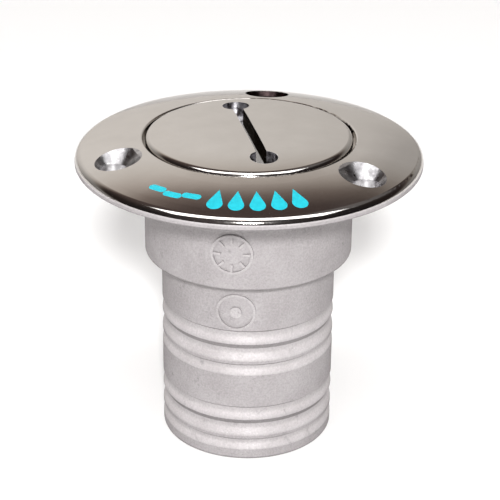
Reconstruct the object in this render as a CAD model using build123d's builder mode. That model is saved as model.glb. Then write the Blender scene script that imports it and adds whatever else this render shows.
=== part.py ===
"""Deck fill cap with a hose tail, in millimetres.

The origin is on the fill axis where the flange's underside meets the deck, +Z is up out of the
deck, and the coloured marks are on the -Y side. The cap is shown screwed home.
"""
from math import acos, cos, radians, sin, tan
import os

from build123d import *

# Driving dimensions: flange
FLANGE_R = 38.25
FLANGE_UNDERSIDE_Z = 0.0
RIM_ROUND_R = 1.9
RIM_UNDER_ROUND_R = 0.4
DOME_INNER_Z = 5.6
DOME_SLOPE_INNER = 7.5
DOME_SLOPE_OUTER = 17.6

# Driving dimensions: fixing holes
SCREW_CIRCLE_R = 31.2
SCREW_COUNT = 3
SCREW_START_ANGLE = 82.3
SCREW_HOLE_R = 3.0
COUNTERSINK_R = 5.0
COUNTERSINK_ANGLE = 90.0

# Driving dimensions: cap recess and female thread
RECESS_R = 23.35
RECESS_FLOOR_Z = 2.6
RECESS_EDGE_ROUND_R = 0.4
THREAD_PITCH = 2.0
FEMALE_ROOT_R = 19.75
FEMALE_CREST_R = 18.55
FEMALE_BASE_Z = -9.8
FEMALE_TURNS = 5.0
MOUTH_CHAMFER = 1.2
THREAD_CREST_W = 0.3
THREAD_FLANK_ANGLE = 30.0

# Driving dimensions: collar and hose tail
COLLAR_R = 23.2
COLLAR_BOTTOM_Z = -20.9
COLLAR_ROUND_R = 0.7
SHOULDER_DROP = 1.2
TAIL_R = 19.5
TAIL_BOTTOM_Z = -65.4
TAIL_BORE_R = 17.4
TAIL_END_ROUND_R = 0.7
LIP_R = 16.2
LIP_TOP_Z = -20.0
LIP_HEIGHT = 2.0
RELIEF_BOTTOM_Z = -13.5

# Driving dimensions: ridges on the tail, two groups of three grooves
RIDGE_GROUP_TOPS = (-32.6, -51.7)
GROOVE_DROPS = (0.0, 3.4, 8.3)
GROOVE_STEEP_LENGTHS = (0.45, 1.2, 0.45)
GROOVE_GENTLE_LENGTHS = (2.9, 3.1, 2.4)
GROOVE_DEPTHS = (0.5, 0.62, 0.5)
GROOVE_FOOT_PART = 0.55
GROOVE_CREST_PART = 0.72

# Driving dimensions: cast marks
PAD_ANGLE = 262.5
PAD_Z = -28.0
PAD_R = 4.35
PAD_RIM_W = 0.55
PAD_DOT_R = 1.3
PAD_PROUD = 0.35
DIAL_ANGLE = 261.5
DIAL_Z = -12.4
DIAL_R = 4.6
DIAL_TICK_COUNT = 8
DIAL_TICK_W = 0.5
DIAL_TICK_LENGTH = 1.6
DIAL_TICK_CIRCLE_R = 3.2

# Driving dimensions: enamel marks let into the flange
ENAMEL_DEPTH = 0.45
ENAMEL_BELOW_SURFACE = 0.05
DROP_COUNT = 5
DROP_FIRST_ANGLE = 258.2
DROP_STEP_ANGLE = 7.5
DROP_TIP_CIRCLE_R = 28.8
DROP_LENGTH = 6.4
DROP_BULB_R = 1.65
DASH_COUNT = 3
DASH_FIRST_ANGLE = 232.2
DASH_STEP_ANGLE = 7.2
DASH_SPAN_ANGLE = 4.4
DASH_CIRCLE_R = 32.4
DASH_STAGGER = 0.35
DASH_W = 1.7

# Driving dimensions: cap
CAP_R = 22.8
CAP_UNDERSIDE_Z = 3.0
CAP_EDGE_Z = 5.9
CAP_CROWN = 1.25
CAP_EDGE_ROUND_R = 1.3
MALE_ROOT_R = 18.3
MALE_CREST_R = 19.4
MALE_TURNS = 3.5
MALE_PHASE_TURNS = 1.5
BOSS_BOTTOM_Z = -8.0
BOSS_BORE_R = 15.8
BOSS_ROOF_Z = 0.6
BOSS_CHAMFER = 0.9
KEY_HOLE_CIRCLE_R = 15.65
KEY_LINE_ANGLE = 101.6
KEY_HOLE_R = 3.0
KEY_SLOT_W = 2.3
KEY_FLOOR_Z = 3.1

# Driving dimensions: sealing ring
SEAL_CIRCLE_R = 21.2
SEAL_SECTION_R = 0.85
SEAL_GROOVE_W = 1.9
SEAL_GROOVE_TOP_Z = 4.4

# Driving dimensions: swivel, chain and retaining bar
STUD_SHANK_R = 1.5
STUD_SEAT_CLEARANCE = 0.02
STUD_SEAT_TOP_Z = 2.0
STUD_HEAD_R = 2.6
STUD_HEAD_TOP_Z = -4.2
STUD_HEAD_H = 1.2
STUD_HEAD_GAP = 0.05
SWIVEL_CLEARANCE = 0.06
SWIVEL_W = 4.0
SWIVEL_T = 1.2
SWIVEL_LEG_X = 3.9
SWIVEL_BAR_Z = -8.2
SWIVEL_BAR_R = 0.8
LINK_COUNT = 7
LINK_WIRE_R = 0.6
LINK_LENGTH = 7.0
LINK_WIDTH = 4.8
LINK_SLACK = 0.08
EYE_R = 1.3
EYE_RIM = 1.0
EYE_T = 1.4
EYE_SLACK = 0.23
BAR_R = 1.6
BAR_HALF_LENGTH = 16.7
BAR_DROP = 3.9

# Overlaps: how far cutters run past a face, and how deep a thread ridge is rooted
CUT_PAST = 1.0
THREAD_BURY = 0.15

# Worked out from the driving dimensions: the dome's arc in half section
slope_run = FLANGE_R - RECESS_R
slope_rise = sin(radians(DOME_SLOPE_OUTER)) - sin(radians(DOME_SLOPE_INNER))
dome_arc_r = slope_run / slope_rise
dome_arc_centre_r = RECESS_R - dome_arc_r * sin(radians(DOME_SLOPE_INNER))
dome_arc_centre_z = DOME_INNER_Z - dome_arc_r * cos(radians(DOME_SLOPE_INNER))


def dome_z(radius, lowered=0.0):
    """Height of the dome, or of a copy of it lowered along its own normal."""
    reach = radius - dome_arc_centre_r
    arc = dome_arc_r - lowered
    return dome_arc_centre_z + (arc * arc - reach * reach) ** 0.5


def polar(radius, angle, z=0.0):
    return (radius * cos(radians(angle)), radius * sin(radians(angle)), z)


def helical_ridge(root_r, crest_r, base_z, turns):
    """One thread ridge: a trapezium with 30 degree flanks, carried up a right-hand helix."""
    outward = 1 if crest_r > root_r else -1
    foot_r = root_r - outward * THREAD_BURY
    flank = abs(crest_r - foot_r) * tan(radians(THREAD_FLANK_ANGLE))
    half_crest = THREAD_CREST_W / 2
    half_foot = half_crest + flank
    with BuildPart() as ridge:
        with BuildLine() as path:
            Helix(THREAD_PITCH, THREAD_PITCH * turns, root_r, center=(0, 0, base_z))
        with BuildSketch(Plane.XZ) as section:
            with BuildLine():
                Polyline(
                    (foot_r, base_z - half_foot),
                    (crest_r, base_z - half_crest),
                    (crest_r, base_z + half_crest),
                    (foot_r, base_z + half_foot),
                    close=True,
                )
            make_face()
        sweep(sections=section.sketch, path=path.line, is_frenet=True)
    return ridge.part


def dome_layer(top_lowered, bottom_lowered):
    """A shell of the flange's dome between two depths, for pockets and their fillings."""
    inner_r = RECESS_R + CUT_PAST
    outer_r = FLANGE_R - RIM_ROUND_R / 2
    middle_r = (inner_r + outer_r) / 2
    with BuildPart() as layer:
        with BuildSketch(Plane.XZ):
            with BuildLine():
                ThreePointArc(
                    (inner_r, dome_z(inner_r, top_lowered)),
                    (middle_r, dome_z(middle_r, top_lowered)),
                    (outer_r, dome_z(outer_r, top_lowered)),
                )
                Line(
                    (outer_r, dome_z(outer_r, top_lowered)),
                    (outer_r, dome_z(outer_r, bottom_lowered)),
                )
                ThreePointArc(
                    (outer_r, dome_z(outer_r, bottom_lowered)),
                    (middle_r, dome_z(middle_r, bottom_lowered)),
                    (inner_r, dome_z(inner_r, bottom_lowered)),
                )
                Line(
                    (inner_r, dome_z(inner_r, bottom_lowered)),
                    (inner_r, dome_z(inner_r, top_lowered)),
                )
            make_face()
        revolve(axis=Axis.Z)
    return layer.part


def drop_prism(angle):
    """A teardrop on end, its tip towards the cap, tall enough to pass through the dome."""
    bulb_r = DROP_TIP_CIRCLE_R + DROP_LENGTH - DROP_BULB_R
    reach = DROP_LENGTH - DROP_BULB_R
    touch = acos(DROP_BULB_R / reach)
    side = DROP_BULB_R * sin(touch)
    forward = DROP_BULB_R * cos(touch)
    plane = Plane(origin=polar(bulb_r, angle), x_dir=polar(-1, angle), z_dir=(0, 0, 1))
    with BuildPart() as prism:
        with BuildSketch(plane):
            with BuildLine():
                Line((reach, 0), (forward, side))
                ThreePointArc((forward, side), (-DROP_BULB_R, 0), (forward, -side))
                Line((forward, -side), (reach, 0))
            make_face()
        extrude(amount=CAP_EDGE_Z)
    return prism.part


def dash_prism(start_angle, radius):
    """A short curved bar with round ends, tall enough to pass through the dome."""
    with BuildPart() as prism:
        with BuildSketch():
            centre_line = CenterArc((0, 0), radius, start_angle, DASH_SPAN_ANGLE, mode=Mode.PRIVATE)
            SlotArc(centre_line, DASH_W)
        extrude(amount=CAP_EDGE_Z)
    return prism.part


def enamel_prisms():
    """Name and outline prism of each enamel mark, from the -X side round to the +X side."""
    prisms = []
    for index in range(DASH_COUNT):
        shift = DASH_STAGGER if index % 2 else -DASH_STAGGER
        start = DASH_FIRST_ANGLE + index * DASH_STEP_ANGLE
        prisms.append((f"enamel_dash_{index + 1}", dash_prism(start, DASH_CIRCLE_R + shift)))
    for index in range(DROP_COUNT):
        angle = DROP_FIRST_ANGLE + index * DROP_STEP_ANGLE
        prisms.append((f"enamel_drop_{index + 1}", drop_prism(angle)))
    return prisms


def groove_ring(top_z, steep, gentle, depth):
    """The ring cut away by one groove: a steep upper side and a long, S-shaped lower one."""
    low_z = top_z - steep
    end_z = low_z - gentle
    foot = (TAIL_R - depth, low_z - gentle * GROOVE_FOOT_PART)
    crest = (TAIL_R, low_z - gentle * GROOVE_CREST_PART)
    with BuildPart() as ring:
        with BuildSketch(Plane.XZ):
            with BuildLine():
                Line((TAIL_R, top_z), (TAIL_R - depth, low_z))
                Bezier((TAIL_R - depth, low_z), foot, crest, (TAIL_R, end_z))
                Polyline(
                    (TAIL_R, end_z),
                    (TAIL_R + CUT_PAST, end_z),
                    (TAIL_R + CUT_PAST, top_z),
                    (TAIL_R, top_z),
                )
            make_face()
        revolve(axis=Axis.Z)
    return ring.part


def collar_plane(angle, z, radius):
    """A plane that touches a cylinder of the casting, its x axis along the girth."""
    return Plane(origin=polar(radius, angle, z), x_dir=polar(1, angle + 90), z_dir=polar(1, angle))


def cast_mark(angle, z, radius, outline):
    """Raised marks of the casting: outline() draws them, and they stand a little proud."""
    with BuildPart() as mark:
        with BuildSketch(collar_plane(angle, z, radius - CUT_PAST)):
            outline()
        extrude(amount=CUT_PAST * 2)
        Cylinder(radius + PAD_PROUD, 2 * abs(TAIL_BOTTOM_Z), mode=Mode.INTERSECT)
    return mark.part


def pad_outline():
    Circle(PAD_R)
    Circle(PAD_R - PAD_RIM_W, mode=Mode.SUBTRACT)
    Circle(PAD_DOT_R)


def dial_outline():
    Circle(DIAL_R)
    Circle(DIAL_R - PAD_RIM_W, mode=Mode.SUBTRACT)
    with PolarLocations(DIAL_TICK_CIRCLE_R, DIAL_TICK_COUNT):
        Rectangle(DIAL_TICK_LENGTH, DIAL_TICK_W)


def screw_cutter():
    """One screw hole on the Z axis, its cone's mouth COUNTERSINK_R in radius at the dome."""
    mouth_z = dome_z(SCREW_CIRCLE_R)
    cone_depth = (COUNTERSINK_R - SCREW_HOLE_R) / tan(radians(COUNTERSINK_ANGLE / 2))
    with BuildPart() as cutter:
        with BuildSketch(Plane.XZ):
            with BuildLine():
                Polyline(
                    (0, FLANGE_UNDERSIDE_Z - CUT_PAST),
                    (SCREW_HOLE_R, FLANGE_UNDERSIDE_Z - CUT_PAST),
                    (SCREW_HOLE_R, mouth_z - cone_depth),
                    (COUNTERSINK_R + CUT_PAST, mouth_z + CUT_PAST),
                    (0, mouth_z + CUT_PAST),
                    close=True,
                )
            make_face()
        revolve(axis=Axis.Z)
    return cutter.part


# Deck body: one casting, with the flange, collar, tail, recess and thread
female_thread = helical_ridge(FEMALE_ROOT_R, FEMALE_CREST_R, FEMALE_BASE_Z, FEMALE_TURNS)
prisms = enamel_prisms()
pocket_layer = dome_layer(-CUT_PAST, ENAMEL_DEPTH)
filling_layer = dome_layer(ENAMEL_BELOW_SURFACE, ENAMEL_DEPTH)
lip_bottom_z = LIP_TOP_Z - LIP_HEIGHT
flange_mid_r = (FLANGE_R + RECESS_R) / 2
screw_hole = screw_cutter()
pad_mark = cast_mark(PAD_ANGLE, PAD_Z, TAIL_R, pad_outline)
dial_mark = cast_mark(DIAL_ANGLE, DIAL_Z, COLLAR_R, dial_outline)
groove_rings = [
    groove_ring(group_top - drop, steep, gentle, depth)
    for group_top in RIDGE_GROUP_TOPS
    for drop, steep, gentle, depth in zip(
        GROOVE_DROPS, GROOVE_STEEP_LENGTHS, GROOVE_GENTLE_LENGTHS, GROOVE_DEPTHS
    )
]
pockets = [prism.intersect(pocket_layer) for _, prism in prisms]

with BuildPart() as deck_body:
    with BuildSketch(Plane.XZ) as half_section:
        with BuildLine():
            ThreePointArc(
                (RECESS_R, DOME_INNER_Z),
                (flange_mid_r, dome_z(flange_mid_r)),
                (FLANGE_R, dome_z(FLANGE_R)),
            )
            Polyline(
                (FLANGE_R, dome_z(FLANGE_R)),
                (FLANGE_R, FLANGE_UNDERSIDE_Z),
                (COLLAR_R, FLANGE_UNDERSIDE_Z),
                (COLLAR_R, COLLAR_BOTTOM_Z),
                (TAIL_R, COLLAR_BOTTOM_Z - SHOULDER_DROP),
                (TAIL_R, TAIL_BOTTOM_Z),
                (TAIL_BORE_R, TAIL_BOTTOM_Z),
                (TAIL_BORE_R, lip_bottom_z - (TAIL_BORE_R - LIP_R)),
                (LIP_R, lip_bottom_z),
                (LIP_R, LIP_TOP_Z),
                (FEMALE_ROOT_R, RELIEF_BOTTOM_Z),
                (FEMALE_ROOT_R, RECESS_FLOOR_Z - MOUTH_CHAMFER),
                (FEMALE_ROOT_R + MOUTH_CHAMFER, RECESS_FLOOR_Z),
                (RECESS_R, RECESS_FLOOR_Z),
                (RECESS_R, DOME_INNER_Z),
            )
        make_face()
        for corner, round_r in (
            ((FLANGE_R, dome_z(FLANGE_R)), RIM_ROUND_R),
            ((FLANGE_R, FLANGE_UNDERSIDE_Z), RIM_UNDER_ROUND_R),
            ((RECESS_R, DOME_INNER_Z), RECESS_EDGE_ROUND_R),
            ((COLLAR_R, COLLAR_BOTTOM_Z), COLLAR_ROUND_R),
            ((TAIL_R, TAIL_BOTTOM_Z), TAIL_END_ROUND_R),
        ):
            fillet(half_section.vertices().sort_by_distance(corner)[0], round_r)
    revolve(axis=Axis.Z)
    for ring in groove_rings:
        add(ring, mode=Mode.SUBTRACT)
    with PolarLocations(SCREW_CIRCLE_R, SCREW_COUNT, start_angle=SCREW_START_ANGLE):
        add(screw_hole, mode=Mode.SUBTRACT)
    for pocket in pockets:
        add(pocket, mode=Mode.SUBTRACT)
    add(pad_mark)
    add(dial_mark)
    add(female_thread)

# Enamel marks, each filling its own pocket to just under the surface
enamel_marks = []
for mark_name, prism in prisms:
    with BuildPart() as enamel:
        add(prism.intersect(filling_layer))
    enamel.part.label = mark_name
    enamel_marks.append(enamel.part)

# Cap: a crowned disc with a key recess, on a hollow threaded boss
male_base_z = FEMALE_BASE_Z + THREAD_PITCH * MALE_PHASE_TURNS
male_thread = helical_ridge(MALE_ROOT_R, MALE_CREST_R, male_base_z, MALE_TURNS)
crown_z = CAP_EDGE_Z + CAP_CROWN
crown_control_1 = (CAP_R / 3, crown_z)
crown_control_2 = (2 * CAP_R / 3, crown_z)
groove_inner_r = SEAL_CIRCLE_R - SEAL_GROOVE_W / 2
groove_outer_r = SEAL_CIRCLE_R + SEAL_GROOVE_W / 2

with BuildPart() as cap:
    with BuildSketch(Plane.XZ) as half_section:
        with BuildLine():
            Bezier((0, crown_z), crown_control_1, crown_control_2, (CAP_R, CAP_EDGE_Z))
            Polyline(
                (CAP_R, CAP_EDGE_Z),
                (CAP_R, CAP_UNDERSIDE_Z),
                (groove_outer_r, CAP_UNDERSIDE_Z),
                (groove_outer_r, SEAL_GROOVE_TOP_Z),
                (groove_inner_r, SEAL_GROOVE_TOP_Z),
                (groove_inner_r, CAP_UNDERSIDE_Z),
                (MALE_ROOT_R + BOSS_CHAMFER, CAP_UNDERSIDE_Z),
                (MALE_ROOT_R, CAP_UNDERSIDE_Z - BOSS_CHAMFER),
                (MALE_ROOT_R, BOSS_BOTTOM_Z),
                (BOSS_BORE_R, BOSS_BOTTOM_Z),
                (BOSS_BORE_R, BOSS_ROOF_Z),
                (0, BOSS_ROOF_Z),
                (0, crown_z),
            )
        make_face()
        fillet(half_section.vertices().sort_by_distance((CAP_R, CAP_EDGE_Z))[0], CAP_EDGE_ROUND_R)
    revolve(axis=Axis.Z)
    key_plane = Plane((0, 0, KEY_FLOOR_Z), x_dir=polar(1, KEY_LINE_ANGLE), z_dir=(0, 0, 1))
    with BuildSketch(key_plane):
        with PolarLocations(KEY_HOLE_CIRCLE_R, 2):
            Circle(KEY_HOLE_R)
        Rectangle(2 * KEY_HOLE_CIRCLE_R, KEY_SLOT_W)
    extrude(amount=CAP_EDGE_Z, mode=Mode.SUBTRACT)
    with BuildSketch(Plane.XY.offset(BOSS_ROOF_Z)):
        Circle(STUD_SHANK_R + STUD_SEAT_CLEARANCE)
    extrude(amount=STUD_SEAT_TOP_Z - BOSS_ROOF_Z, mode=Mode.SUBTRACT)
    add(male_thread)

# Sealing ring under the cap's disc
with BuildPart() as cap_seal:
    with BuildSketch(Plane.XZ):
        with Locations((SEAL_CIRCLE_R, SEAL_GROOVE_TOP_Z - SEAL_SECTION_R)):
            Circle(SEAL_SECTION_R)
    revolve(axis=Axis.Z)

# Stud that carries the swivel under the cap
with BuildPart() as swivel_stud:
    with BuildSketch(Plane.XY.offset(STUD_HEAD_TOP_Z)):
        Circle(STUD_SHANK_R)
    extrude(amount=STUD_SEAT_TOP_Z - STUD_HEAD_TOP_Z)
    with BuildSketch(Plane.XY.offset(STUD_HEAD_TOP_Z - STUD_HEAD_H)):
        Circle(STUD_HEAD_R)
    extrude(amount=STUD_HEAD_H)

# Swivel: a strap round the stud with two legs and a cross bar for the first link
plate_bottom_z = STUD_HEAD_TOP_Z + STUD_HEAD_GAP
leg_bottom_z = SWIVEL_BAR_Z - SWIVEL_BAR_R

with BuildPart() as swivel:
    with BuildSketch(Plane.XY.offset(plate_bottom_z)):
        Rectangle(2 * SWIVEL_LEG_X + SWIVEL_T, SWIVEL_W)
        Circle(STUD_SHANK_R + SWIVEL_CLEARANCE, mode=Mode.SUBTRACT)
    extrude(amount=SWIVEL_T)
    with BuildSketch(Plane.XY.offset(leg_bottom_z)):
        with Locations((-SWIVEL_LEG_X, 0), (SWIVEL_LEG_X, 0)):
            Rectangle(SWIVEL_T, SWIVEL_W)
    extrude(amount=plate_bottom_z + SWIVEL_T - leg_bottom_z)
    with BuildSketch(Plane.YZ.offset(-SWIVEL_LEG_X)):
        with Locations((0, SWIVEL_BAR_Z)):
            Circle(SWIVEL_BAR_R)
    extrude(amount=2 * SWIVEL_LEG_X)

# Chain: upright links, alternately turned, each hanging in the one above
inner_half_length = LINK_LENGTH / 2 - 2 * LINK_WIRE_R
bow_r = LINK_WIDTH / 2 - LINK_WIRE_R
straight_half = LINK_LENGTH / 2 - LINK_WIRE_R - bow_r
link_pitch = 2 * inner_half_length - LINK_SLACK
first_link_z = SWIVEL_BAR_Z + SWIVEL_BAR_R + LINK_SLACK - inner_half_length

chain_links = []
for index in range(LINK_COUNT):
    link_z = first_link_z - index * link_pitch
    across = (0, 1, 0) if index % 2 == 0 else (1, 0, 0)
    link_normal = (1, 0, 0) if index % 2 == 0 else (0, -1, 0)
    link_plane = Plane(origin=(0, 0, link_z), x_dir=across, z_dir=link_normal)
    with BuildPart() as link:
        with BuildLine(link_plane) as wire_path:
            Line((bow_r, -straight_half), (bow_r, straight_half))
            ThreePointArc((bow_r, straight_half), (0, straight_half + bow_r), (-bow_r, straight_half))
            Line((-bow_r, straight_half), (-bow_r, -straight_half))
            ThreePointArc(
                (-bow_r, -straight_half), (0, -straight_half - bow_r), (bow_r, -straight_half)
            )
        wire_start = link_plane.from_local_coords((bow_r, -straight_half))
        with BuildSketch(Plane(wire_start, z_dir=(0, 0, 1))):
            Circle(LINK_WIRE_R)
        sweep(path=wire_path.line)
    link.part.label = f"chain_link_{index + 1}"
    chain_links.append(link.part)

# Retaining bar: hangs across the tail's bore, below the lip that it can't pass level
last_link_bottom = first_link_z - (LINK_COUNT - 1) * link_pitch - inner_half_length
eye_z = last_link_bottom + EYE_SLACK - EYE_R
bar_z = eye_z - BAR_DROP

bar_straight_half = BAR_HALF_LENGTH - BAR_R

with BuildPart() as retaining_bar:
    with BuildSketch(Plane.YZ.offset(-bar_straight_half)):
        with Locations((0, bar_z)):
            Circle(BAR_R)
    extrude(amount=2 * bar_straight_half)
    with Locations((-bar_straight_half, 0, bar_z), (bar_straight_half, 0, bar_z)):
        Sphere(BAR_R)
    with BuildSketch(Plane.XZ.offset(-EYE_T / 2)):
        with Locations((0, eye_z)):
            Circle(EYE_R + EYE_RIM)
        with Locations((0, (eye_z + bar_z) / 2)):
            Rectangle(2 * (EYE_R + EYE_RIM), eye_z - bar_z)
        with Locations((0, eye_z)):
            Circle(EYE_R, mode=Mode.SUBTRACT)
    extrude(amount=EYE_T)

# Files, one for each piece
deck_body.part.label = "deck_body"
cap.part.label = "cap"
cap_seal.part.label = "cap_seal"
swivel_stud.part.label = "swivel_stud"
swivel.part.label = "swivel"
retaining_bar.part.label = "retaining_bar"

os.makedirs("parts", exist_ok=True)
export_step(deck_body.part, "parts/deck_body.step")
export_step(cap.part, "parts/cap.step")
export_step(cap_seal.part, "parts/cap_seal.step")
export_step(swivel_stud.part, "parts/swivel_stud.step")
export_step(swivel.part, "parts/swivel.step")
export_step(retaining_bar.part, "parts/retaining_bar.step")
for piece in enamel_marks + chain_links:
    export_step(piece, f"parts/{piece.label}.step")
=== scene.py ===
"""Deck fill cap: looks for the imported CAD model, in metres, +Z up out of the deck."""
from math import cos, pi, radians, sin

import bpy
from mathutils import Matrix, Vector


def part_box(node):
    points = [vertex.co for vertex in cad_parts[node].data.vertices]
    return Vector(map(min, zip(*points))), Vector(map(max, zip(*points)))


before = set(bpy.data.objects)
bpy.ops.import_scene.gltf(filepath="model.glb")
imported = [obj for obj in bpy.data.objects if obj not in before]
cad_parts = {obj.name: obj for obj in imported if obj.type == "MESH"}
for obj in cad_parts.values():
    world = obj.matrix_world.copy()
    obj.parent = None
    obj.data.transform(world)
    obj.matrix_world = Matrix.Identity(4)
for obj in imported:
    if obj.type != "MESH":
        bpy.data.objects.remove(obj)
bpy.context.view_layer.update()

# Camera: looks at a point beside the fill axis
CAMERA_DISTANCE = 0.3793
CAMERA_ELEVATION = 25.4
CAMERA_AIM = (0.0004, 0.0, -0.0222)
CAMERA_ROLL = 0.55
CAMERA_LENS_MM = 120.9
SENSOR_MM = 36.0

# Key light, in front and above
KEY_DISTANCE = 1.1
KEY_ELEVATION = 31.0
KEY_AZIMUTH = 1.0
KEY_SIZE = 0.12
KEY_POWER = 16.0

# What polished steel mirrors, in degrees up from the back horizon and over the top to the front.
# The levels are fitted to the photo's reflections
PALE_BACKDROP = (0.76, 0.73, 0.70)
LIGHT_GREY = (0.65, 0.61, 0.57)
WARM_GREY = (0.47, 0.42, 0.38)
DIM_BROWN = (0.20, 0.16, 0.14)
DARK_BROWN = (0.075, 0.055, 0.05)
DARK_FRONT = (0.06, 0.05, 0.05)
ROOM_LEVELS = (
    (0, PALE_BACKDROP),
    (29, PALE_BACKDROP),
    (36, LIGHT_GREY),
    (41.5, WARM_GREY),
    (47.5, DIM_BROWN),
    (54, DARK_BROWN),
    (82, DARK_BROWN),
    (128, DARK_FRONT),
    (180, DARK_FRONT),
)
ROOM_SKEW = 16.0

# The backdrop is brighter on the -X side: brightness by the x part of the direction
SIDE_LEVELS = (
    (-0.85, 0.30),
    (-0.50, 0.95),
    (-0.30, 1.10),
    (-0.08, 1.04),
    (0.08, 0.93),
    (0.18, 0.85),
    (0.27, 0.62),
    (0.60, 0.45),
    (0.85, 0.25),
)

# Soft box overhead: angles in the same degrees, and half its width as the x part of a direction
BOX_FROM, BOX_TO = 87.0, 113.0
BOX_HALF_WIDTH = 0.56
BOX_EDGE = 3.0
BOX_EDGE_X = 0.05
BOX_LEVEL = 3.3

# Weak fill over the right shoulder, fitted to the photo, in the same angles and x parts
FILL_FROM, FILL_TO = 56.0, 84.0
FILL_FROM_X, FILL_TO_X = 0.30, 0.60
FILL_EDGE, FILL_EDGE_X = 10.0, 0.12
FILL_LEVEL = 0.10

FLOOR_SIZE = 12.0
FLOOR_COLOUR = (0.95, 0.945, 0.94)
FLOOR_ROUGHNESS = 0.9

# Buffed steel
MIRROR_DARK, MIRROR_LIGHT = (0.71, 0.68, 0.65), (0.75, 0.72, 0.69)
MIRROR_EDGE = (0.86, 0.85, 0.84)
MIRROR_ROUGHNESS = (0.07, 0.13)

# Cast steel: colours, and a painted highlight on faces that tilt up and painted shade on faces that
# tilt down, fitted to the photo
CAST_DARK, CAST_LIGHT = (0.262, 0.244, 0.247), (0.320, 0.301, 0.306)
PAINTED_HIGHLIGHT_GAIN, PAINTED_HIGHLIGHT_FROM, PAINTED_HIGHLIGHT_TO = 1.62, 0.03, 0.25
PAINTED_SHADE_GAIN, PAINTED_SHADE_FROM, PAINTED_SHADE_TO = 0.62, -0.35, 0.0
SHEEN_COLOUR = (0.62, 0.60, 0.60)
SHEEN_ROUGHNESS = 0.42
SHEEN_PER_GAIN, SHEEN_OFFSET = 0.22, -0.05

# Cast marks: where a flank and a top start, as parts of how proud they stand, and their painted
# shade and painted highlight
FLANK_PART, FLANK_PAINTED_SHADE = 0.1, 0.5
TOP_PART, TOP_PAINTED_HIGHLIGHT = 0.93, 0.68

# Screw holes and key recess
HOLE_DARK, HOLE_LIGHT = (0.34, 0.33, 0.34), (0.62, 0.61, 0.62)
# Painted shade over the rear screw hole, coming in between these y values
REAR_PAINTED_SHADE = (0.10, 0.07, 0.07)
REAR_FROM_Y, REAR_TO_Y = 0.010, 0.024
KEY_HOLE_DARK, KEY_HOLE_LIGHT = (0.10, 0.09, 0.09), (0.66, 0.65, 0.68)
KEY_HOLE_EDGE = (0.7, 0.7, 0.72)
# Key slot: painted shade on the walls and in their reflections; the floor is lighter and less
# metallic
SLOT_WALL_PAINTED_SHADE, SLOT_FLOOR = (0.07, 0.055, 0.045), (0.52, 0.50, 0.48)
SLOT_EDGE_PAINTED_SHADE = (0.12, 0.10, 0.08)
SLOT_FLOOR_DULLING = 0.6
LEVEL_FACE = 0.5

ENAMEL_DARK, ENAMEL_LIGHT = (0.015, 0.43, 0.52), (0.02, 0.50, 0.60)
RUBBER_COLOUR = (0.018, 0.018, 0.02)

# Places on the object that its finishes follow
POLISH_LIMIT_Z = 0.0013
TAIL_R = 0.0195
COLLAR_R = 0.0232
MARK_PROUD = 0.00035
PAD_Z, DIAL_Z, MARK_HALF_H = -0.028, -0.0124, 0.005
SCREW_CIRCLE_R = 0.0312
SCREW_START = radians(82.3)
SCREW_STEP = radians(120.0)
SCREW_HOLE_R = 0.0030
MOUTH_R = 0.0050
MOUTH_Z = 0.0041967
KEY_LINE = radians(101.6)
KEY_CIRCLE_R = 0.01565
KEY_HOLE_R = 0.0030
KEY_SLOT_HALF_W = 0.00115
KEY_FLOOR_Z = 0.0031
SKIN = 0.00004

floor_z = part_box("deck_body")[0][2]


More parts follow.
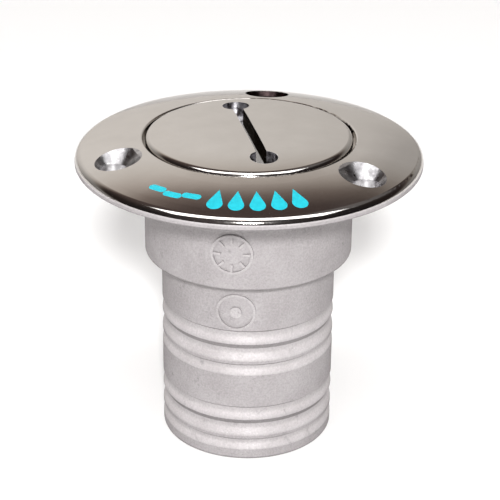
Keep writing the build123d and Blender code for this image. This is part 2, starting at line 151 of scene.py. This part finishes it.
class Tree:
    """Short ways to add and link shader nodes."""

    def __init__(self, name):
        self.material = bpy.data.materials.new(name)
        self.material.use_nodes = True
        self.nodes = self.material.node_tree.nodes
        self.links = self.material.node_tree.links

    def put(self, socket, value):
        if isinstance(value, bpy.types.NodeSocket):
            self.links.new(value, socket)
        elif isinstance(value, tuple) and len(value) == 3 and socket.type == "RGBA":
            socket.default_value = (*value, 1.0)
        else:
            socket.default_value = value

    def math(self, operation, *values):
        node = self.nodes.new("ShaderNodeMath")
        node.operation = operation
        for socket, value in zip(node.inputs, values):
            self.put(socket, value)
        return node.outputs["Value"]

    def vector(self, operation, *values):
        node = self.nodes.new("ShaderNodeVectorMath")
        node.operation = operation
        sockets = node.inputs
        if operation == "SCALE":
            sockets = (node.inputs["Vector"], node.inputs["Scale"])
        for socket, value in zip(sockets, values):
            self.put(socket, value)
        return node.outputs["Value" if operation == "LENGTH" else "Vector"]

    def split(self, vector):
        node = self.nodes.new("ShaderNodeSeparateXYZ")
        self.links.new(vector, node.inputs["Vector"])
        return node.outputs["X"], node.outputs["Y"], node.outputs["Z"]

    def join(self, x, y, z):
        node = self.nodes.new("ShaderNodeCombineXYZ")
        for socket, value in zip(node.inputs, (x, y, z)):
            self.put(socket, value)
        return node.outputs["Vector"]

    def spun(self, vector, angle):
        node = self.nodes.new("ShaderNodeVectorRotate")
        node.rotation_type = "Z_AXIS"
        self.links.new(vector, node.inputs["Vector"])
        self.put(node.inputs["Angle"], angle)
        return node.outputs["Vector"]

    def place(self):
        return self.nodes.new("ShaderNodeTexCoord").outputs["Object"]

    def noise(self, vector, scale, detail=2.0, roughness=0.5):
        node = self.nodes.new("ShaderNodeTexNoise")
        self.links.new(vector, node.inputs["Vector"])
        node.inputs["Scale"].default_value = scale
        node.inputs["Detail"].default_value = detail
        node.inputs["Roughness"].default_value = roughness
        return node.outputs["Fac"]

    def spread(self, value, low, high, from_low=0.3, from_high=0.7):
        node = self.nodes.new("ShaderNodeMapRange")
        numbers = {"From Min": from_low, "From Max": from_high, "To Min": low, "To Max": high}
        for name, number in numbers.items():
            node.inputs[name].default_value = number
        self.links.new(value, node.inputs["Value"])
        return node.outputs["Result"]

    def bump(self, height, strength, distance):
        node = self.nodes.new("ShaderNodeBump")
        node.inputs["Strength"].default_value = strength
        node.inputs["Distance"].default_value = distance
        self.links.new(height, node.inputs["Height"])
        return node.outputs["Normal"]

    def tint(self, factor, low, high):
        node = self.nodes.new("ShaderNodeMixRGB")
        self.put(node.inputs["Fac"], factor)
        self.put(node.inputs["Color1"], low)
        self.put(node.inputs["Color2"], high)
        return node.outputs["Color"]

    def blend(self, factor, under, over):
        node = self.nodes.new("ShaderNodeMixShader")
        self.links.new(factor, node.inputs["Fac"])
        self.links.new(under, node.inputs[1])
        self.links.new(over, node.inputs[2])
        return node.outputs["Shader"]

    def principled(self, **settings):
        node = self.nodes.new("ShaderNodeBsdfPrincipled")
        for name, value in settings.items():
            self.put(node.inputs[name.replace("_", " ")], value)
        return node

    def show(self, shader):
        self.links.new(shader, self.nodes["Material Output"].inputs["Surface"])
        return self.material


def mirror_finish(tree, place):
    """Buffed stainless steel: a mirror with faint clouds and a very slight waviness."""
    clouds = tree.noise(place, 160.0, 3.0)
    colour = tree.tint(tree.spread(clouds, 0.0, 1.0), MIRROR_DARK, MIRROR_LIGHT)
    fine = tree.noise(place, 2600.0, 2.0)
    node = tree.principled(
        Metallic=1.0,
        Base_Color=colour,
        Roughness=tree.spread(fine, *MIRROR_ROUGHNESS),
        Specular_Tint=MIRROR_EDGE,
        Normal=tree.bump(tree.noise(place, 260.0, 2.0), 0.05, 0.0001),
    )
    return node.outputs["BSDF"]


def cast_finish(tree, place):
    """Grainy casting skin, lighter on faces that tilt up and darker on faces that tilt down.

    The tilt shading stands in for light: it was fitted to the photo's ridge highlights, and it
    stays on the object in every view.
    """
    patches = tree.noise(place, 130.0, 4.0, 0.6)
    colour = tree.tint(tree.spread(patches, 0.0, 1.0), CAST_DARK, CAST_LIGHT)
    grain = tree.noise(place, 2300.0, 3.0, 0.65)
    speckle = tree.spread(grain, 0.82, 1.18)
    stains = tree.spread(tree.noise(place, 330.0, 4.0, 0.7), 1.0, 0.55, 0.62, 0.74)
    upward = tree.split(tree.nodes.new("ShaderNodeNewGeometry").outputs["Normal"])[2]
    # Painted shade on faces that tilt down and painted highlight on faces that tilt up, from the z
    # part of the normal
    painted_shade = tree.spread(upward, PAINTED_SHADE_GAIN, 1.0, PAINTED_SHADE_FROM, PAINTED_SHADE_TO)
    painted_highlight = tree.spread(upward, 1.0, PAINTED_HIGHLIGHT_GAIN, PAINTED_HIGHLIGHT_FROM, PAINTED_HIGHLIGHT_TO)
    # Real speckle and stains, multiplied with the painted shade and painted highlight
    dirt = tree.math("MULTIPLY", speckle, stains)
    dirt_and_painted_light = tree.math("MULTIPLY", dirt, tree.math("MULTIPLY", painted_shade, painted_highlight))
    dirt_and_painted_light = tree.math("MULTIPLY", dirt_and_painted_light, mark_painted_light(tree, place))
    colour = tree.vector("SCALE", colour, dirt_and_painted_light)
    height = tree.math("ADD", grain, tree.noise(place, 520.0, 2.0))
    normal = tree.bump(height, 0.7, 0.00016)
    matt = tree.nodes.new("ShaderNodeBsdfDiffuse")
    tree.put(matt.inputs["Color"], colour)
    tree.put(matt.inputs["Normal"], normal)
    sheen = tree.nodes.new("ShaderNodeBsdfAnisotropic")
    tree.put(sheen.inputs["Color"], SHEEN_COLOUR)
    tree.put(sheen.inputs["Roughness"], SHEEN_ROUGHNESS)
    tree.put(sheen.inputs["Normal"], normal)
    # The sheen's share rises with the painted highlight on faces that tilt up
    share = tree.math("ADD", tree.math("MULTIPLY", painted_highlight, SHEEN_PER_GAIN), SHEEN_OFFSET)
    return tree.blend(share, matt.outputs["BSDF"], sheen.outputs["BSDF"])


def mark_painted_light(tree, place):
    """Painted light on the cast marks: a painted highlight on their tops and painted shade on their
    flanks, so that they read.
    """
    x, y, z = tree.split(place)
    radius = tree.vector("LENGTH", tree.join(x, y, 0.0))
    front = tree.math("LESS_THAN", y, 0.0)
    level = 1.0
    for base_r, centre_z in ((TAIL_R, PAD_Z), (COLLAR_R, DIAL_Z)):
        from_centre = tree.math("ABSOLUTE", tree.math("SUBTRACT", z, centre_z))
        near = tree.math("LESS_THAN", from_centre, MARK_HALF_H)
        near = tree.math("MULTIPLY", near, front)
        on_flank = tree.math("GREATER_THAN", radius, base_r + FLANK_PART * MARK_PROUD)
        on_top = tree.math("GREATER_THAN", radius, base_r + TOP_PART * MARK_PROUD)
        # Painted highlight on the mark tops, painted shade on their flanks
        lighter = tree.math("MULTIPLY", on_top, TOP_PAINTED_HIGHLIGHT)
        darker = tree.math("MULTIPLY", on_flank, FLANK_PAINTED_SHADE)
        change = tree.math("SUBTRACT", lighter, darker)
        level = tree.math("ADD", tree.math("MULTIPLY", change, near), level)
    return level


def axis_distance(tree, offset):
    across, along, _ = tree.split(offset)
    return tree.vector("LENGTH", tree.join(across, along, 0.0))


def drilled_finish(tree, place, offset, turn, colour, edge_tint, metallic=1.0):
    """Tool marks in rings round a drilled axis; offset is the place measured from that axis."""
    across, along, height = tree.split(offset)
    ring_way = tree.spun(tree.join(tree.math("MULTIPLY", along, -1.0), across, 0.0), turn)
    depth = tree.math("ADD", axis_distance(tree, offset), height)
    rings = tree.noise(tree.join(depth, 0.0, 0.0), 9000.0, 2.0)
    chatter = tree.noise(place, 1500.0, 2.0)
    node = tree.principled(
        Metallic=metallic,
        Base_Color=colour,
        Specular_Tint=edge_tint,
        Roughness=tree.spread(chatter, 0.24, 0.42),
        Anisotropic=0.75,
        Anisotropic_Rotation=0.25,
        Tangent=tree.vector("NORMALIZE", ring_way),
        Normal=tree.bump(tree.math("ADD", rings, chatter), 0.3, 0.00006),
    )
    return node.outputs["BSDF"]


def steel_body():
    """One casting: buffed on top, blasted below the flange, drilled at the three screw holes.

    The rear hole carries a painted shade, set by its position, to match how it looks from the
    photo's angle. The painted shade shows from every side, though the three holes are alike.
    """
    tree = Tree("body_steel")
    place = tree.place()
    x, y, z = tree.split(place)
    angle = tree.math("SUBTRACT", tree.math("ARCTAN2", y, x), SCREW_START)
    steps = tree.math("ROUND", tree.math("DIVIDE", angle, SCREW_STEP))
    turn = tree.math("ADD", tree.math("MULTIPLY", steps, SCREW_STEP), SCREW_START)
    homed = tree.spun(place, tree.math("MULTIPLY", turn, -1.0))
    offset = tree.vector("SUBTRACT", homed, (SCREW_CIRCLE_R, 0.0, 0.0))
    # Painted shade on the rear screw hole by its y position, in its colour and in its reflections
    behind = tree.spread(y, 0.0, 1.0, REAR_FROM_Y, REAR_TO_Y)
    patches = tree.spread(tree.noise(place, 700.0), 0.0, 1.0)
    bright = tree.tint(patches, HOLE_DARK, HOLE_LIGHT)
    rear_painted_shade = tree.tint(behind, (1.0, 1.0, 1.0), REAR_PAINTED_SHADE)
    metal = tree.vector("MULTIPLY", bright, rear_painted_shade)
    drilled = drilled_finish(tree, place, offset, turn, metal, rear_painted_shade)
    distance = axis_distance(tree, offset)
    in_hole = tree.math("LESS_THAN", distance, SCREW_HOLE_R + SKIN)
    slant = tree.math("SUBTRACT", distance, z)
    in_cone = tree.math("LESS_THAN", slant, MOUTH_R - MOUTH_Z + SKIN)
    polished = tree.math("GREATER_THAN", z, POLISH_LIMIT_Z)
    surface = tree.blend(polished, cast_finish(tree, place), mirror_finish(tree, place))
    in_cone = tree.math("MULTIPLY", in_cone, polished)
    return tree.show(tree.blend(tree.math("MAXIMUM", in_hole, in_cone), surface, drilled))


def steel_cap():
    """Buffed cap with tool marks in its key recess, whose slot walls carry a painted shade to match
    the photo; the slot floor stays lighter.
    """
    tree = Tree("polished_steel")
    place = tree.place()
    homed = tree.spun(place, -KEY_LINE)
    x, y, z = tree.split(homed)
    long_way = tree.math("ABSOLUTE", x)
    offset = tree.join(tree.math("SUBTRACT", long_way, KEY_CIRCLE_R), y, z)
    patches = tree.spread(tree.noise(place, 520.0), 0.0, 1.0, 0.42, 0.58)
    hole_metal = tree.tint(patches, KEY_HOLE_DARK, KEY_HOLE_LIGHT)
    upward = tree.split(tree.nodes.new("ShaderNodeNewGeometry").outputs["Normal"])[2]
    level_floor = tree.math("GREATER_THAN", upward, LEVEL_FACE)
    # Painted shade on the slot walls, with the level floor lighter
    slot_metal_painted_shade = tree.tint(level_floor, SLOT_WALL_PAINTED_SHADE, SLOT_FLOOR)
    in_hole = tree.math("LESS_THAN", axis_distance(tree, offset), KEY_HOLE_R + SKIN)
    metal = tree.tint(in_hole, slot_metal_painted_shade, hole_metal)
    dulling = tree.math("MULTIPLY", level_floor, SLOT_FLOOR_DULLING)
    metallic = tree.math("SUBTRACT", 1.0, dulling)
    # The slot's reflections are darkened with painted shade too
    edge_tint = tree.tint(in_hole, SLOT_EDGE_PAINTED_SHADE, KEY_HOLE_EDGE)
    milled = drilled_finish(tree, place, offset, KEY_LINE, metal, edge_tint, metallic)
    in_slot = tree.math("LESS_THAN", tree.math("ABSOLUTE", y), KEY_SLOT_HALF_W + SKIN)
    in_slot = tree.math("MULTIPLY", in_slot, tree.math("LESS_THAN", long_way, KEY_CIRCLE_R))
    above = tree.math("GREATER_THAN", z, KEY_FLOOR_Z - SKIN)
    inside = tree.math("MULTIPLY", tree.math("MAXIMUM", in_hole, in_slot), above)
    return tree.show(tree.blend(inside, mirror_finish(tree, place), milled))


def drawn_steel(name, colour, roughness):
    """Small fittings in drawn or pressed stainless steel."""
    tree = Tree(name)
    place = tree.place()
    marks = tree.noise(place, 1800.0, 2.0)
    node = tree.principled(
        Metallic=1.0,
        Base_Color=colour,
        Roughness=tree.spread(marks, roughness - 0.06, roughness + 0.08),
        Normal=tree.bump(marks, 0.12, 0.00005),
    )
    return tree.show(node.outputs["BSDF"])


def enamel():
    tree = Tree("blue_enamel")
    place = tree.place()
    patches = tree.spread(tree.noise(place, 900.0), 0.0, 1.0)
    colour = tree.tint(patches, ENAMEL_DARK, ENAMEL_LIGHT)
    node = tree.principled(
        Base_Color=colour,
        Roughness=0.22,
        Normal=tree.bump(tree.noise(place, 500.0, 1.0), 0.15, 0.0001),
    )
    return tree.show(node.outputs["BSDF"])


def rubber():
    tree = Tree("seal_rubber")
    marks = tree.noise(tree.place(), 2500.0)
    node = tree.principled(
        Base_Color=RUBBER_COLOUR,
        Roughness=0.6,
        Normal=tree.bump(marks, 0.2, 0.00005),
    )
    return tree.show(node.outputs["BSDF"])


def dress(obj, material):
    obj.data.materials.clear()
    obj.data.materials.append(material)


def dress_all():
    whole = {"deck_body": steel_body(), "cap": steel_cap(), "cap_seal": rubber()}
    whole["swivel_stud"] = drawn_steel("stud_steel", (0.66, 0.64, 0.62), 0.22)
    whole["swivel"] = drawn_steel("pressed_steel", (0.62, 0.61, 0.60), 0.32)
    whole["retaining_bar"] = drawn_steel("bar_steel", (0.64, 0.63, 0.62), 0.26)
    chain_steel = drawn_steel("chain_steel", (0.70, 0.69, 0.69), 0.2)
    blue = enamel()
    for name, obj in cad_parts.items():
        if name.startswith("enamel"):
            dress(obj, blue)
        elif name.startswith("chain_link"):
            dress(obj, chain_steel)
        else:
            dress(obj, whole[name])


def build_floor():
    bpy.ops.mesh.primitive_plane_add(size=FLOOR_SIZE, location=(0, 0, floor_z))
    floor = bpy.context.object
    floor.name = "floor"
    tree = Tree("pale_floor")
    node = tree.principled(
        Base_Color=FLOOR_COLOUR,
        Roughness=FLOOR_ROUGHNESS,
        Specular_IOR_Level=0.0,
    )
    dress(floor, tree.show(node.outputs["BSDF"]))


def build_room():
    """A room fitted to the photo: pale behind, dark over it and in front, a soft box overhead."""
    world = bpy.data.worlds.new("room")
    bpy.context.scene.world = world
    world.use_nodes = True
    nodes, links = world.node_tree.nodes, world.node_tree.links

    def new(kind, operation=None):
        node = nodes.new(kind)
        if operation:
            node.operation = operation
        return node

    def window(value, low, high, edge):
        """1 inside low..high, falling to 0 over the edge outside it."""
        sides = []
        for near, far in ((low, low - edge), (high, high + edge)):
            side = new("ShaderNodeMapRange")
            side.interpolation_type = "SMOOTHSTEP"
            side.inputs["From Min"].default_value = far
            side.inputs["From Max"].default_value = near
            links.new(value, side.inputs["Value"])
            sides.append(side.outputs["Result"])
        both = new("ShaderNodeMath", "MULTIPLY")
        links.new(sides[0], both.inputs[0])
        links.new(sides[1], both.inputs[1])
        return both.outputs["Value"]

    def ramp(value, stops):
        node = new("ShaderNodeValToRGB")
        elements = node.color_ramp.elements
        while len(elements) < len(stops):
            elements.new(0.5)
        for element, (position, colour) in zip(elements, stops):
            element.position = position
            element.color = (*colour, 1.0)
        links.new(value, node.inputs["Fac"])
        return node.outputs["Color"]

    place = new("ShaderNodeTexCoord")
    split = new("ShaderNodeSeparateXYZ")
    links.new(place.outputs["Generated"], split.inputs["Vector"])
    angle = new("ShaderNodeMath", "ARCTAN2")
    links.new(split.outputs["Z"], angle.inputs[0])
    links.new(split.outputs["Y"], angle.inputs[1])
    degrees_up = new("ShaderNodeMath", "MULTIPLY")
    links.new(angle.outputs["Value"], degrees_up.inputs[0])
    degrees_up.inputs[1].default_value = 180.0 / pi
    rightward = new("ShaderNodeMath", "MAXIMUM")
    links.new(split.outputs["X"], rightward.inputs[0])
    rightward.inputs[1].default_value = 0.0
    skewed = new("ShaderNodeMath", "MULTIPLY_ADD")
    links.new(rightward.outputs["Value"], skewed.inputs[0])
    skewed.inputs[1].default_value = ROOM_SKEW
    links.new(degrees_up.outputs["Value"], skewed.inputs[2])
    part = new("ShaderNodeMath", "DIVIDE")
    links.new(skewed.outputs["Value"], part.inputs[0])
    part.inputs[1].default_value = 180.0
    room_stops = [(degrees / 180.0, colour) for degrees, colour in ROOM_LEVELS]
    room = ramp(part.outputs["Value"], room_stops)
    sideways = new("ShaderNodeMath", "MULTIPLY_ADD")
    links.new(split.outputs["X"], sideways.inputs[0])
    sideways.inputs[1].default_value = 0.5
    sideways.inputs[2].default_value = 0.5
    side_stops = [(0.5 + x / 2, (level / 2,) * 3) for x, level in SIDE_LEVELS]
    side = ramp(sideways.outputs["Value"], side_stops)
    shaded = new("ShaderNodeVectorMath", "MULTIPLY")
    links.new(room, shaded.inputs[0])
    links.new(side, shaded.inputs[1])
    box = new("ShaderNodeMath", "MULTIPLY")
    box_height = window(degrees_up.outputs["Value"], BOX_FROM, BOX_TO, BOX_EDGE)
    box_width = window(split.outputs["X"], -BOX_HALF_WIDTH, BOX_HALF_WIDTH, BOX_EDGE_X)
    links.new(box_height, box.inputs[0])
    links.new(box_width, box.inputs[1])
    fill = new("ShaderNodeMath", "MULTIPLY")
    links.new(window(degrees_up.outputs["Value"], FILL_FROM, FILL_TO, FILL_EDGE), fill.inputs[0])
    links.new(window(split.outputs["X"], FILL_FROM_X, FILL_TO_X, FILL_EDGE_X), fill.inputs[1])
    filled = new("ShaderNodeMath", "MULTIPLY")
    links.new(fill.outputs["Value"], filled.inputs[0])
    filled.inputs[1].default_value = FILL_LEVEL
    lit = new("ShaderNodeVectorMath", "MULTIPLY_ADD")
    links.new(shaded.outputs["Vector"], lit.inputs[0])
    lit.inputs[1].default_value = (2.0, 2.0, 2.0)
    glow = new("ShaderNodeMath", "MULTIPLY")
    links.new(box.outputs["Value"], glow.inputs[0])
    glow.inputs[1].default_value = BOX_LEVEL
    both = new("ShaderNodeMath", "ADD")
    links.new(glow.outputs["Value"], both.inputs[0])
    links.new(filled.outputs["Value"], both.inputs[1])
    links.new(both.outputs["Value"], lit.inputs[2])
    links.new(lit.outputs["Vector"], nodes["Background"].inputs["Color"])


def on_sphere(distance, azimuth, elevation, centre):
    """A point seen from the centre at that azimuth (0 is -Y, 90 is +X) and elevation."""
    flat = distance * cos(radians(elevation))
    x = flat * sin(radians(azimuth))
    y = -flat * cos(radians(azimuth))
    return Vector(centre) + Vector((x, y, distance * sin(radians(elevation))))


def aim(obj, target, roll=0.0):
    direction = Vector(target) - obj.location
    obj.rotation_euler = direction.to_track_quat("-Z", "Y").to_euler()
    obj.rotation_euler.rotate_axis("Z", radians(roll))


def build_lights():
    data = bpy.data.lights.new("key", "AREA")
    data.shape = "SQUARE"
    data.size = KEY_SIZE
    data.energy = KEY_POWER
    key = bpy.data.objects.new("key", data)
    bpy.context.scene.collection.objects.link(key)
    key.location = on_sphere(KEY_DISTANCE, KEY_AZIMUTH, KEY_ELEVATION, (0, 0, 0))
    aim(key, (0, 0, -0.02))


def build_camera():
    data = bpy.data.cameras.new("camera")
    data.lens = CAMERA_LENS_MM
    data.sensor_width = SENSOR_MM
    data.clip_start = 0.01
    camera = bpy.data.objects.new("camera", data)
    bpy.context.scene.collection.objects.link(camera)
    camera.location = on_sphere(CAMERA_DISTANCE, 0.0, CAMERA_ELEVATION, CAMERA_AIM)
    aim(camera, CAMERA_AIM, CAMERA_ROLL)
    bpy.context.scene.camera = camera


bpy.context.scene.view_settings.view_transform = "Standard"
dress_all()
build_floor()
build_room()
build_lights()
build_camera()
